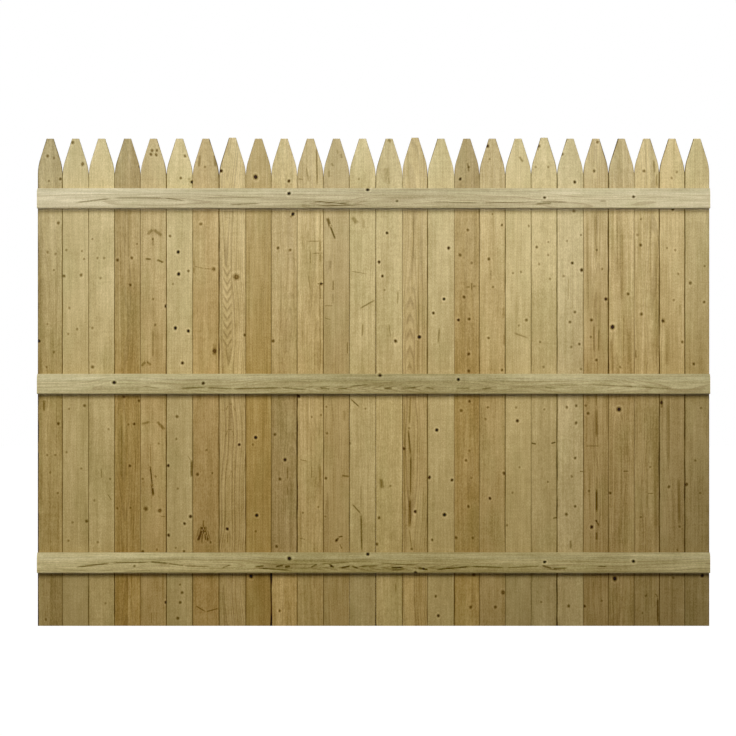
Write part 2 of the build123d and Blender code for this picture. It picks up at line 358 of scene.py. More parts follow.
# Cracks, pitch streaks and smudges: from one place in the photograph to another, in pixels,
# then how wide each is, in pixels too, and how dark
STREAKS = {
    "picket_01": ((40.5, 215, 40.5, 545, 5, 0.2), (44, 400, 44, 411, 3.5, 0.55)),
    "picket_03": (
        (104, 358, 104, 370, 1.2, 0.25), (103, 178, 103, 192, 1.2, 0.25),
        (101.4, 468, 101.4, 478, 1.2, 0.35), (107.5, 494, 111.5, 500, 1.0, 0.45),
    ),
    "picket_04": (
        (120, 215, 121.5, 366, 1.2, 0.22), (133.5, 300, 132, 368, 1.2, 0.22),
        (126, 190, 125, 255, 1.0, 0.2), (121, 405, 122.5, 500, 1.2, 0.24), (136, 440, 133, 548, 1.2, 0.24),
        (126.5, 480, 127.5, 622, 1.0, 0.2),
    ),
    "picket_05": (
        (147.5, 234.5, 152.5, 229.5, 3.4, 0.42), (153.5, 229.5, 162, 236, 3.4, 0.42),
        (153, 238, 153, 246, 1.6, 0.3), (145.5, 258.8, 151, 259.2, 1.9, 0.7),
        (157, 259.8, 163.5, 262.5, 2.3, 0.65), (153, 330, 153, 358, 1.6, 0.38),
        (141.5, 366, 145.5, 361.5, 2.6, 0.4), (146.5, 361.5, 151, 365, 2.6, 0.4),
        (141.5, 424, 149.5, 421.8, 2.6, 0.35), (157, 421.5, 164.5, 429.5, 3.0, 0.45),
        (150.5, 443, 150.5, 466, 1.2, 0.3), (150.1, 465.8, 152.6, 487, 1.5, 0.75),
        (152.2, 484, 153.3, 496, 2.4, 0.85), (161, 516.5, 165, 516.5, 1.0, 0.4),
        (151.5, 612, 151.5, 624, 1.2, 0.3),
    ),
    "picket_06": (
        (189.5, 177, 191.5, 187, 4.5, 0.3), (188, 456, 191, 461, 1.0, 0.4),
        (191.4, 460, 191.4, 477, 2.4, 0.75),
    ),
    "picket_07": (
        (200, 155, 198.9, 167, 3.0, 0.42), (214.3, 155, 215.6, 167, 3.0, 0.42),
        (194, 258, 194, 274, 1.5, 0.28), (194, 266, 204, 268.6, 1.3, 0.3), (204, 268.6, 212, 269, 1.3, 0.3),
        (214.5, 344, 214.5, 356, 4.0, 0.35), (201.8, 530, 198, 541, 2.8, 0.8),
        (204.4, 530, 208, 541, 2.8, 0.75), (203.2, 526.5, 203.2, 534, 6.5, 0.75),
        (202.6, 533, 201.8, 543, 1.6, 0.55), (205, 534, 205.6, 540, 1.6, 0.6),
        (203.4, 520, 203.2, 528, 1.6, 0.45), (207.5, 530, 210.5, 543, 1.4, 0.35),
        (198.5, 529, 196.8, 537, 1.4, 0.35), (196, 606, 205.5, 611.6, 1.4, 0.5),
        (206.5, 611.6, 218, 608.5, 1.4, 0.5),
    ),
    "picket_08": (
        (227.4, 533, 227.4, 543, 1.2, 0.35), (226.2, 410, 228.4, 404.6, 1.0, 0.3),
        (228.4, 404.2, 232.6, 404.2, 1.0, 0.3), (232.6, 404.6, 235.2, 411, 1.0, 0.3),
        (225.4, 436, 228, 430, 1.0, 0.28), (228, 429.6, 232, 429.6, 1.0, 0.28),
        (232, 430, 234.4, 436.5, 1.0, 0.28), (229.6, 478, 231, 470, 1.0, 0.25),
        (231.4, 470, 233.4, 479, 1.0, 0.25),
    ),
    "picket_09": ((249, 215, 249, 366, 1.5, 0.14), (263, 400, 262, 545, 1.5, 0.14)),
    "picket_10": (
        (287.6, 467, 287.6, 479, 1.4, 0.4), (287.4, 486, 287.4, 495, 1.0, 0.35),
        (281, 262, 281, 330, 1.0, 0.22), (290.6, 217.5, 294, 212.5, 2.4, 0.6),
    ),
    "picket_11": (
        (316.4, 148, 317.4, 186, 1.8, 0.6), (320.6, 212, 320, 238, 1.0, 0.4),
        (320, 292, 320.4, 370, 1.0, 0.4), (320, 238, 320.4, 263, 2.4, 0.36),
        (307.5, 241.3, 322.5, 241, 1.3, 0.38), (312, 253.6, 323, 253, 1.5, 0.36),
        (317.6, 283.7, 323.8, 283.6, 1.5, 0.65), (319.8, 284, 320.4, 300, 1.4, 0.35),
        (308, 274, 310.5, 290, 1.3, 0.28), (298.6, 179, 302.8, 179.2, 1.5, 0.45),
        (306.4, 167, 308.6, 181.5, 1.7, 0.34), (308, 230, 308, 244, 0.9, 0.35),
        (310.5, 250, 310.5, 264, 0.9, 0.35), (309, 300, 309, 316, 0.9, 0.35),
        (300, 459.7, 307, 461, 1.0, 0.45), (311.8, 466, 311.8, 478, 1.0, 0.4),
        (320, 466, 320, 482, 3, 0.25), (300, 538.3, 305, 539.5, 1.0, 0.4), (303, 235, 303, 250, 3, 0.15),
    ),
    "picket_12": (
        (327.4, 218, 330.4, 227, 3.4, 0.8), (330.2, 226, 335.2, 239, 1.9, 0.85),
        (333.2, 280, 333.2, 292, 1.9, 0.5), (333, 292, 333, 304, 1.1, 0.4),
        (324.6, 305.8, 333, 305.9, 1.1, 0.38), (324.8, 318, 330.4, 319.6, 1.1, 0.28),
        (331.5, 163, 333, 166, 2.2, 0.35), (341, 154, 341.8, 158, 2.2, 0.35),
        (337, 149.5, 338, 153.5, 1.7, 0.3), (329, 170.5, 329, 177.5, 2.2, 0.3),
        (330, 260, 330, 270, 3, 0.2), (347.4, 342, 347.4, 354, 1.2, 0.5), (344.2, 410, 344.2, 421, 3, 0.2),
        (336.6, 541, 338.6, 537, 2.2, 0.7), (338.6, 537, 342.6, 536.4, 1.6, 0.75),
        (339.6, 544, 342, 549, 1.4, 0.4), (342, 475.6, 349, 476.4, 2.0, 0.5),
    ),
    "picket_13": (
        (352, 217, 357, 223, 4.5, 0.4), (363.7, 219, 363.7, 229, 3, 0.2),
        (351, 271.2, 365.6, 273.6, 1.0, 0.38), (359.8, 308.6, 374.6, 300.2, 1.7, 0.5),
        (362.8, 324, 362.2, 336.5, 1.7, 0.42), (350.7, 399, 359, 406.6, 1.4, 0.7),
        (361, 484, 361, 512, 1.3, 0.4), (361, 512, 361.8, 552, 1.9, 0.6),
        (352.6, 504.5, 360.6, 513.5, 1.5, 0.55),
    ),
    "picket_14": (
        (381.2, 478.5, 382.4, 488.5, 4.0, 0.5), (388, 139.5, 391, 142, 3, 0.45),
        (386, 167, 386.4, 184, 6.5, 0.24), (388.4, 177, 389.4, 184, 1.9, 0.3),
        (398, 291, 397.6, 304, 1.7, 0.45), (389, 324, 390.5, 337, 1.4, 0.34),
        (395.7, 582, 395.7, 592, 1.0, 0.35),
    ),
    "picket_15": (
        (414, 208, 413, 262, 1.2, 0.35), (410.5, 395, 409.4, 425, 2.2, 0.45),
        (408.4, 430, 410.6, 455, 1.7, 0.6), (410.8, 455, 410.6, 497, 1.7, 0.6),
        (410, 498, 409.6, 528, 3.4, 0.5), (409, 528, 412, 550, 1.5, 0.3),
        (418.5, 208, 418.5, 366, 1.2, 0.2), (404.5, 395, 404.5, 548, 2.2, 0.2),
    ),
    "picket_16": ((439.4, 328, 438.2, 343, 1.9, 0.4),),
    "picket_17": (
        (466, 287.2, 476, 286, 2.2, 0.36), (471.6, 282.5, 471.6, 290.5, 1.8, 0.42),
        (467.6, 162.5, 468.8, 172, 2.1, 0.5), (470, 485, 470, 500, 10, 0.1),
    ),
    "picket_18": (
        (491, 270, 491, 280, 1.0, 0.5), (503.4, 307, 503.4, 319, 3, 0.2), (504, 334, 504, 346, 1.2, 0.4),
    ),
    "picket_19": ((519.2, 156.5, 523, 162, 2.4, 0.5), (514, 333, 528, 338, 2, 0.35)),
    "picket_20": (
        (538.4, 142, 537.6, 150.5, 1.9, 0.55), (531.8, 443.2, 536, 444, 1.6, 0.8),
        (551.2, 443.4, 555.6, 442.2, 1.6, 0.8), (553.2, 518.2, 556.8, 517.6, 1.6, 0.65),
    ),
    "picket_21": (
        (570.8, 540, 570.8, 549, 2.2, 0.5), (580, 471.3, 583, 471.5, 1.5, 0.6),
        (568.5, 275, 568, 302, 1.2, 0.3),
    ),
    "picket_22": (
        (596.4, 392, 596.4, 406, 1.6, 0.35), (596.4, 408, 596.4, 438, 3.2, 0.42),
        (585.5, 446, 600, 446, 1.0, 0.4), (596.6, 489, 596.6, 512, 2.2, 0.75),
        (596, 520, 599, 526, 1.6, 0.5), (596.5, 532, 596.5, 540, 2.2, 0.5), (595, 212, 596, 262, 4.5, 0.28),
        (600, 215, 599, 262, 1.0, 0.25), (588, 270, 589, 310, 1.0, 0.25), (594, 325, 594, 352, 1.4, 0.4),
        (599, 328, 598.5, 352, 1.4, 0.4), (588, 212, 587, 300, 3.0, 0.2),
    ),
    "picket_23": (
        (623.4, 471.2, 628.4, 471.2, 1.2, 0.5), (617, 215, 618, 285, 1.2, 0.25),
        (624, 310, 623, 365, 1.2, 0.25), (621.5, 222, 621.5, 302, 4.5, 0.24),
        (611.5, 340, 612, 372, 3.0, 0.3), (628.5, 330, 629, 366, 4.0, 0.2), (627, 405, 627, 460, 1.0, 0.22),
    ),
    "picket_24": (
        (653.8, 160, 654.6, 173, 2.3, 0.4), (656.8, 174, 656.8, 187, 1.6, 0.5),
        (657.6, 597, 657.6, 624, 1.7, 0.7), (635.9, 349.5, 635.9, 358.5, 1.3, 0.7),
        (648, 493.3, 653.6, 493.3, 1.2, 0.5), (655.5, 594, 658, 597, 1.2, 0.4),
        (650, 215, 651, 300, 1.2, 0.2), (656, 230, 656.5, 366, 4.5, 0.24),
        (655.5, 400, 656, 548, 5.0, 0.22),
    ),
    "picket_25": (
        (680, 304, 680, 316, 3, 0.2), (668.5, 396, 668.5, 470, 3.0, 0.28),
        (678.8, 478, 679.4, 526, 3.0, 0.4), (663, 318, 664, 323, 4.0, 0.4),
        (661.5, 398, 662, 408, 3.0, 0.5), (667, 325, 667, 366, 4.0, 0.2),
    ),
    "rail_top": (
        (76, 202.6, 112, 198.4, 1.6, 0.63), (112, 198, 165, 197.8, 1.5, 0.57),
        (165, 198, 184, 200.6, 1.4, 0.52), (312, 201, 352, 204.4, 1.2, 0.57),
        (318, 206, 362, 204.8, 1.2, 0.52), (200, 198, 262, 197, 1.2, 0.4),
        (430, 201.8, 480, 203, 1.2, 0.52), (480, 203, 540, 201.8, 1.3, 0.57),
        (540, 201.6, 567, 202.2, 1.5, 0.63), (536, 203.6, 552, 203.2, 2.2, 0.52),
        (600, 201, 606, 201, 1.3, 0.46), (230, 204.5, 260, 203.4, 1.3, 0.52),
    ),
    "rail_middle": (
        (590, 384.6, 640, 387, 1.4, 0.4), (640, 387, 672, 388.8, 1.5, 0.4),
        (558, 385.6, 578, 384.8, 1.3, 0.36), (143, 386.2, 159, 388.2, 1.3, 0.4),
        (181, 388.4, 206, 387.2, 1.9, 0.48), (206, 387.6, 232, 388.8, 1.5, 0.44),
        (232, 388.8, 282, 387.8, 1.6, 0.48), (282, 387.8, 306, 389.6, 1.7, 0.48),
        (320, 388.2, 330, 389.2, 1.8, 0.48), (337, 388.8, 347, 388.4, 1.8, 0.48),
        (350, 386, 368, 384.8, 1.4, 0.36), (384, 388.4, 392, 388.2, 2.2, 0.48),
        (401, 388.6, 417, 387.2, 1.9, 0.48), (426, 387.4, 434, 388.8, 1.6, 0.4),
        (456, 388.4, 470, 388.2, 1.7, 0.44), (482, 388.8, 492, 388, 1.7, 0.44),
        (500, 375.6, 540, 376, 1.2, 0.33), (545, 387.6, 556, 388.6, 1.4, 0.33),
    ),
    "rail_bottom": (
        (76, 567.3, 111, 562.9, 1.7, 0.67), (111, 562.7, 150, 562.4, 1.6, 0.59),
        (150, 562, 168, 563.2, 1.8, 0.71), (168, 563.4, 184, 565.8, 1.6, 0.59),
        (184, 565.8, 210, 566.6, 1.4, 0.45), (222, 568, 230, 565, 1.4, 0.49),
        (255, 566.8, 264, 566, 2.0, 0.67), (258, 568.2, 292, 570.4, 1.5, 0.63),
        (276, 566.6, 283, 565.4, 1.8, 0.67), (285, 566.8, 290, 566.2, 2.4, 0.71),
        (311, 567, 317, 564.2, 1.8, 0.63), (320, 563.8, 350, 562.6, 1.3, 0.45),
        (329, 563.8, 334, 567.6, 2.0, 0.76), (341, 567.8, 350, 566.2, 2.0, 0.67),
        (352, 566, 358, 568.4, 1.8, 0.63), (360, 566.6, 377, 565.6, 1.6, 0.59),
        (378, 563, 420, 565.4, 1.3, 0.45), (391, 567.6, 403, 567.8, 2.0, 0.76),
        (392, 570, 404, 569.4, 1.4, 0.54), (418, 567.6, 428, 569.8, 2.2, 0.71),
        (437, 569.4, 470, 566.6, 1.7, 0.67), (470, 566.4, 505, 567.6, 1.7, 0.63),
        (505, 567.6, 541, 566.2, 1.5, 0.59), (542, 565.4, 552, 568.6, 2.0, 0.59),
        (552, 568.8, 567, 568.2, 2.2, 0.63), (598, 566.4, 606, 566.6, 1.5, 0.49),
        (305, 553.8, 340, 554.4, 1.2, 0.31),
    ),
}

# Flames: from one place on a flame's axis to another, from above down or from left to right, then how far
# apart its arches are, how steeply their arms fall, and half its width. All but the steepness are in pixels.
FLAMES = {
    "picket_08": (227.3, 262, 227.3, 352, 9.2, -1.9, 4.3),
    "picket_15": (410.0, 284, 410.0, 374, 17.0, 2.2, 4.2),
    "rail_top": (300, 203.2, 372, 203.2, 15.0, 5.0, 2.4),
    "rail_middle": (300, 388.5, 430, 388.5, 14.0, 4.5, 2.8),
    "rail_bottom": (305, 567.4, 470, 567.4, 15.0, 4.5, 3.0),
}
# The flame of a board that has none is far above it
NO_FLAME = ((0.0, 10.0, 11.0), (0.1, 0.0, 0.01))


class Value:
    """What a node gives. Reckoned with like a number, it adds the nodes for that to its bench."""

    def __init__(self, bench, socket):
        self.bench = bench
        self.socket = socket

    def __add__(self, other):
        return self.bench.math("ADD", self, other)

    def __sub__(self, other):
        return self.bench.math("SUBTRACT", self, other)

    def __rsub__(self, other):
        return self.bench.math("SUBTRACT", other, self)

    def __mul__(self, other):
        return self.bench.math("MULTIPLY", self, other)

    def __truediv__(self, other):
        return self.bench.math("DIVIDE", self, other)

    def __gt__(self, other):
        return self.bench.math("GREATER_THAN", self, other)

    def __lt__(self, other):
        return self.bench.math("LESS_THAN", self, other)

    def __abs__(self):
        return self.bench.math("ABSOLUTE", self)


class Bench:
    """Where a tree of nodes is put together. Nodes take numbers, colours, things or what other nodes give."""

    def __init__(self, tree):
        self.tree = tree

    def plug(self, node, values):
        for socket, value in values.items():
            if isinstance(value, Value):
                self.tree.links.new(value.socket, node.inputs[socket])
            else:
                node.inputs[socket].default_value = value
        return node

    def node(self, kind, values=None, **settings):
        node = self.tree.nodes.new(kind)
        for name, setting in settings.items():
            setattr(node, name, setting)
        return self.plug(node, values or {})

    def get(self, kind, values=None, output=0, **settings):
        """What a new node gives at one of its outputs."""
        return Value(self, self.node(kind, values, **settings).outputs[output])

    def math(self, operation, *values):
        """One step of arithmetic."""
        return self.get("ShaderNodeMath", dict(enumerate(values)), operation=operation)

    def vector_math(self, operation, *values):
        """One step of arithmetic on all three parts of a vector."""
        return self.get("ShaderNodeVectorMath", dict(enumerate(values)), operation=operation)

    def hold(self, value, low, high):
        """A value kept from low to high."""
        return self.math("MINIMUM", self.math("MAXIMUM", value, low), high)

    def distance(self, x, y):
        return self.math("SQRT", x * x + y * y)

    def split(self, vector):
        return [Value(self, output) for output in self.node("ShaderNodeSeparateXYZ", {0: vector}).outputs]

    def join(self, x, y, z):
        return self.get("ShaderNodeCombineXYZ", {0: x, 1: y, 2: z})

    def stretch(self, vector, x, y, z, start=0.0):
        """A vector stretched along its axes, from a start that is the same on all three."""
        stretched = self.vector_math("MULTIPLY", vector, (x, y, z))
        return self.vector_math("ADD", stretched, self.join(start, start, start))

    def noise(self, vector, detail=1.0, roughness=0.5):
        """Noise from 0 to 1 that changes over about one unit of the vector."""
        values = {"Vector": vector, "Scale": 1.0, "Detail": detail, "Roughness": roughness}
        return self.get("ShaderNodeTexNoise", values)

    def line_noise(self, place, detail=1.0):
        """Noise along a line, as three values that have nothing to do with each other."""
        values = {"W": place, "Scale": 1.0, "Detail": detail}
        return self.split(self.get("ShaderNodeTexNoise", values, output=1, noise_dimensions="1D"))

    def ramp(self, value, start, end, low=0.0, high=1.0, kind="SMOOTHSTEP"):
        """low up to start, high from end on, and in between a run from the one to the other."""
        values = {0: value, 1: start, 2: end, 3: low, 4: high}
        return self.get("ShaderNodeMapRange", values, interpolation_type=kind)

    def fade(self, value, start, end, level=1.0):
        """The level up to start, and nothing from end on."""
        return self.ramp(value, start, end, level, 0.0)

    def blend(self, share, first, second, kind="MIX"):
        """Two colours mixed."""
        values = {0: share, 6: first, 7: second}
        return self.get("ShaderNodeMix", values, output=2, data_type="RGBA", blend_type=kind)

    def attribute(self, name):
        """The three values of one of the mesh's own attributes."""
        return self.split(self.get("ShaderNodeAttribute", output="Vector", attribute_name=name))


def new_tree(name, kind, inputs, outputs):
    """The bench of a new tree, and what is given to it. inputs and outputs hold the labels of each kind."""
    tree = bpy.data.node_groups.new(name, kind)
    for in_out, sockets in (("INPUT", inputs), ("OUTPUT", outputs)):
        for socket, labels in sockets.items():
            for label in labels:
                tree.interface.new_socket(label, in_out=in_out, socket_type="NodeSocket" + socket)
    bench = Bench(tree)
    given = bench.node("NodeGroupInput").outputs
    return bench, {output.name: Value(bench, output) for output in given if output.name}


# The trees that shape the pieces

def stick(bench, given):
    """A closed stick with one ring of the section's points at each of the blank's points, the first at +Z.
    Gives it, and for each of its points the place of its ring and its place on the section."""
    section = bench.get("GeometryNodeObjectInfo", {"Object": given["Section"]}, "Geometry")
    around, rings = [
        bench.get("GeometryNodeAttributeDomainSize", {0: source}, "Point Count")
        for source in (section, given["Geometry"])
    ]
    values = {"Vertices": around, "Side Segments": rings - 1}
    mesh = bench.get("GeometryNodeMeshCylinder", values, "Mesh", fill_type="NGON")
    index = bench.get("GeometryNodeInputIndex")
    ring = bench.math("FLOOR", (index + 0.5) / around)
    position = bench.get("GeometryNodeInputPosition")
    found = []
    for source, number in ((given["Geometry"], ring), (section, index - ring * around)):
        values = {"Geometry": source, "Value": position, "Index": number}
        found.append(bench.get("GeometryNodeSampleIndex", values, "Value", data_type="FLOAT_VECTOR"))
    return mesh, found[0], found[1]


def uneven(bench, given, place, across, deep, along):
    """How far a face sinks, with waves so many times in a metre. It never rises."""
    waves = bench.noise(bench.stretch(place, across, deep, along, given["Seed"]), 2.0)
    return bench.hold(waves, 0.0, 1.0) * given["Unevenness"]


def finish_tree(bench, given, mesh, position, rim):
    """Puts the points in their places, keeps how far each is from the piece's edges, and ends the tree."""
    mesh = bench.get("GeometryNodeSetPosition", {"Geometry": mesh, "Position": position})
    values = {"Geometry": mesh, "Name": "rim", "Value": rim}
    mesh = bench.get("GeometryNodeStoreNamedAttribute", values, data_type="FLOAT_VECTOR")
    mesh = bench.get("GeometryNodeSetShadeSmooth", {"Geometry": mesh})
    mesh = bench.get("GeometryNodeRealizeInstances", {0: mesh})
    mesh = bench.get("GeometryNodeSetMaterial", {"Geometry": mesh, "Material": given["Material"]})
    bench.node("NodeGroupOutput", {0: mesh})


def gothic_picket_tree():
    """A sawn board with a gothic head. Its section holds, for each point, its share of the flat width,
    its depth, and how far it stands out beyond the flat width."""
    bench, given = new_tree("gothic_picket", "GeometryNodeTree", {
        "Geometry": ("Geometry",), "Object": ("Section",), "Material": ("Material",), "Float": (
            "Centre", "Width", "Length", "Thickness", "Arris", "Tip Width", "Taper Angle", "Head Radius",
            "Left Swell", "Right Swell", "Unevenness", "Seed",
        ),
    }, {"Geometry": ("Geometry",)})
    mesh, ring, on_section = stick(bench, given)
    height = bench.split(ring)[2]
    share, depth, outward = bench.split(on_section)
    half = given["Width"] * 0.5
    radius, angle, arris = given["Head Radius"], given["Taper Angle"], given["Arris"]
    slope = bench.math("TANGENT", angle)

    # The head: an arc from the shoulder to the foot of the taper, then straight to the tip
    taper_foot_x = half - radius * (1.0 - bench.math("COSINE", angle))
    taper_foot_z = given["Length"] - (taper_foot_x - given["Tip Width"] * 0.5) / slope
    arc_rise = radius * bench.math("SINE", angle)
    in_arc = bench.hold(height - (taper_foot_z - arc_rise), 0.0, arc_rise)
    arc_drop = radius - bench.math("SQRT", radius * radius - in_arc * in_arc)
    in_taper = bench.math("MAXIMUM", height - taper_foot_z, 0.0)
    outline = half - arc_drop - in_taper * slope

    # The tip's own arris: the last rings draw in
    near_tip = bench.hold((height - (given["Length"] - arris)) / arris, 0.0, 1.0)
    inset = (1.0 - bench.math("SQRT", 1.0 - near_tip * near_tip)) * arris
    flat = outline - arris - inset

    # The edges swell towards the neighbours' in the middle of the board's thickness
    is_right = share > 0.0
    swell = (1.0 - is_right) * given["Left Swell"] + is_right * given["Right Swell"]
    in_depth = depth / given["Thickness"]
    crest = in_depth * (1.0 - in_depth) * 4.0
    stands_out = swell * crest * (outward / arris > 0.99)
    across = bench.math("SIGN", share) * (abs(share) * flat + (outward + stands_out))

    # The saw left the faces a little uneven, and never outside the board's size
    dip = uneven(bench, given, bench.join(share * flat, depth, height), 38.0, 90.0, 9.0)
    facing = bench.hold((0.5 - in_depth) * 3.0, -1.0, 1.0)
    y = bench.hold(depth, inset, given["Thickness"] - inset) + facing * dip + JOINT_Y
    position = bench.join(across + given["Centre"], y, height)
    finish_tree(bench, given, mesh, position, bench.join(outline + across, outline - across, 1.0))
    return bench.tree


def bevelled_rail_tree():
    """A planed rail along X. Its section holds, for each point, its Y, its Z, and 1 where it may sink."""
    bench, given = new_tree("bevelled_rail", "GeometryNodeTree", {
        "Geometry": ("Geometry",), "Object": ("Section",), "Material": ("Material",),
        "Float": ("Underside", "Height", "Bevel", "Unevenness", "Seed"),
    }, {"Geometry": ("Geometry",)})
    mesh, ring, on_section = stick(bench, given)
    along = bench.split(ring)[0]
    y, z, sinks = bench.split(on_section)
    dip = uneven(bench, given, bench.join(y, z, along), 45.0, 45.0, 7.0)
    position = bench.join(along, y + sinks * dip, z + given["Underside"])
    rim = bench.join(z, given["Height"] - z, abs(z - (given["Height"] - given["Bevel"])))
    finish_tree(bench, given, mesh, position, rim)
    return bench.tree


def points(name, places):
    """Loose points, as an object that a tree reads."""
    mesh = bpy.data.meshes.new(name)
    mesh.from_pydata(places, [], [])
    thing = bpy.data.objects.new(name, mesh)
    bpy.context.scene.collection.objects.link(thing)
    return thing


def make(name, ring_places, tree, sizes):
    """A piece made by a tree from the places of its rings, as a plain mesh."""
    piece = points(name, ring_places)
    modifier = piece.modifiers.new("shape", "NODES")
    modifier.node_group = tree
    named = {item.name: item.identifier for item in tree.interface.items_tree if item.in_out == "INPUT"}
    for label, value in sizes.items():
        modifier[named[label]] = value
    graph = bpy.context.evaluated_depsgraph_get()
    mesh = bpy.data.meshes.new_from_object(piece.evaluated_get(graph))
    piece.modifiers.remove(modifier)
    piece.data = mesh
    mesh.name = name
    # The stick itself brings an empty slot before its own material's
    mesh.materials.pop(index=0)
    mesh.polygons.foreach_set("material_index", np.zeros(len(mesh.polygons), dtype=np.int32))
    return piece


# Sections and rings

def quarter_turn():
    """Sine and cosine at each step of a rounded arris, without its ends."""
    turns = [radians(90) * step / (ARRIS_STEPS + 1) for step in range(1, ARRIS_STEPS + 1)]
    return [(sin(turn), cos(turn)) for turn in turns]


def picket_section():
    """Points round a picket, from the left of its face and counter-clockwise as seen from above.
    Each is its share of the flat width, its depth, and how far out it stands."""
    side = PICKET_BODY - 2 * PICKET_ARRIS
    right = [(0.0, 0.0)]
    for out, inward in quarter_turn():
        right.append((out * PICKET_ARRIS, (1 - inward) * PICKET_ARRIS))
    for step in range(SIDE_STEPS + 1):
        right.append((PICKET_ARRIS, PICKET_ARRIS + side * step / SIDE_STEPS))
    for inward, out in quarter_turn():
        right.append((out * PICKET_ARRIS, PICKET_BODY - (1 - inward) * PICKET_ARRIS))
    right.append((0.0, PICKET_BODY))
    face = [(-1 + 2 * column / FACE_COLUMNS, 0.0, 0.0) for column in range(1, FACE_COLUMNS)]
    back = [(1 - 2 * column / BACK_COLUMNS, PICKET_BODY, 0.0) for column in range(1, BACK_COLUMNS)]
    left = [(-1.0, depth, out) for out, depth in reversed(right)]
    return face + [(1.0, depth, out) for out, depth in right] + back + left


def rail_section():
    """Points round a rail, counter-clockwise as seen from +X. Each is its Y, its Z, and 1 where it sinks."""
    # Each corner with the number of steps to the next, and whether the face between them may sink
    corners = (
        (JOINT_Y, 0.0, 10, 0.0),
        (JOINT_Y, RAIL_HEIGHT, 3, 0.0),
        (RAIL_FACE_Y + RAIL_BEVEL, RAIL_HEIGHT, 5, 1.0),
        (RAIL_FACE_Y, RAIL_HEIGHT - RAIL_BEVEL, 19, 1.0),
        (RAIL_FACE_Y, RAIL_ARRIS, 2, 0.0),
        (RAIL_FACE_Y + RAIL_ARRIS, 0.0, 6, 0.0),
    )
    section = []
    for (y, z, steps, sinks), (next_y, next_z, _, _) in zip(corners, corners[1:] + corners[:1]):
        for step in range(steps):
            part = step / steps
            section.append((y + (next_y - y) * part, z + (next_z - z) * part, sinks if step else 0.0))
    return section


def ring_heights(length, knots):
    """Heights of a picket's rings from its tip down, closer at the head and beside its knots."""
    head_foot = length - HEAD_ROWS_HEIGHT
    heights = {0.0, length}
    heights.update(length - PICKET_ARRIS * share for share in TIP_ROWS)
    heights.update(np.arange(head_foot, length - 2 * PICKET_ARRIS, HEAD_ROW_PITCH).tolist())
    heights.update(np.arange(ROW_PITCH, head_foot - 2 * MM, ROW_PITCH).tolist())
    for knot in knots:
        beside = [knot.z + offset for offset in KNOT_ROWS]
        heights.update(z for z in beside if 1 * MM < z < length - 3 * MM)
    return thin_out(sorted(heights, reverse=True))


def ring_lengths(start, end, knots):
    """Places of a rail's rings from +X to -X, closer beside its knots."""
    places = {start, end, start + 1 * MM, end - 1 * MM}
    places.update(np.arange(start + RAIL_ROW_PITCH, end - 2 * MM, RAIL_ROW_PITCH).tolist())
    for knot in knots:
        beside = [knot.x + offset for offset in KNOT_ROWS]
        places.update(x for x in beside if start + 2 * MM < x < end - 2 * MM)
    return thin_out(sorted(places, reverse=True))


def thin_out(places):
    """Leaves out rings that lie too close to another, but none of the first four and not the last."""
    kept = places[:4]
    for place in places[4:-1]:
        if kept[-1] - place > LEAST_ROW_GAP and place - places[-1] > LEAST_END_GAP:
            kept.append(place)
    return kept + places[-1:]


# Knots and streaks on the faces

# A mark on a face: its centre, half its width and length, how its length leans from upright, how dark it is
Mark = namedtuple("Mark", "x z half_wide half_long slope dark")


def panel_place(x, y, face_y):
    """X and Z in the panel of a place in the photograph, on the face at face_y."""
    scale = METRES_PER_PIXEL * (1 + (face_y - JOINT_Y) / EYE_DISTANCE)
    return (x - PHOTO_CENTRE_X) * scale, EYE_HEIGHT - (y - PHOTO_CENTRE_Y) * scale


def knot_marks(node, face_y, rng):
    """A board's knots, none of them quite round or quite as large and dark as its size says."""
    grain_slope = radians(90) if node.startswith("rail") else 0.0
    marks = []
    for x, y, size in KNOTS[node]:
        place = panel_place(x, y, face_y)
        radius = size.radius * rng.uniform(0.9, 1.12)
        longer = rng.uniform(1.0, 1.3)
        slope = rng.uniform(-0.5, 0.5) + grain_slope
        dark = size.dark * rng.uniform(0.92, 1.0)
        marks.append(Mark(*place, radius / longer**0.5, radius * longer**0.5, slope, dark))
    return marks


def streak_marks(node, face_y):
    marks = []
    for x0, y0, x1, y1, wide, dark in STREAKS.get(node, ()):
        start, end = panel_place(x0, y0, face_y), panel_place(x1, y1, face_y)
        run = np.subtract(end, start)
        middle = np.add(start, end) / 2
        half_long = max(np.hypot(*run) / 2, SHORTEST_STREAK / 2) + STREAK_FADE
        slope = np.arctan2(run[0], run[1])
        marks.append(Mark(*middle, wide * METRES_PER_PIXEL / 2, half_long, slope, dark))
    return marks


def in_mark(dx, dz, marks):
    """How far across and along a mark a place lies, in halves of the mark's own width and length."""
    wide, long, slope = marks[..., 2], marks[..., 3], marks[..., 4]
    across = (dx * np.cos(slope) - dz * np.sin(slope)) / wide
    along = (dx * np.sin(slope) + dz * np.cos(slope)) / long
    return across, along


def read(parts, name, width=1, kind=float):
    """One property of a mesh's points, faces or corners, with a row for each."""
    values = np.empty(len(parts) * width, dtype=kind)
    parts.foreach_get(name, values)
    return values.reshape(-1, width) if width > 1 else values


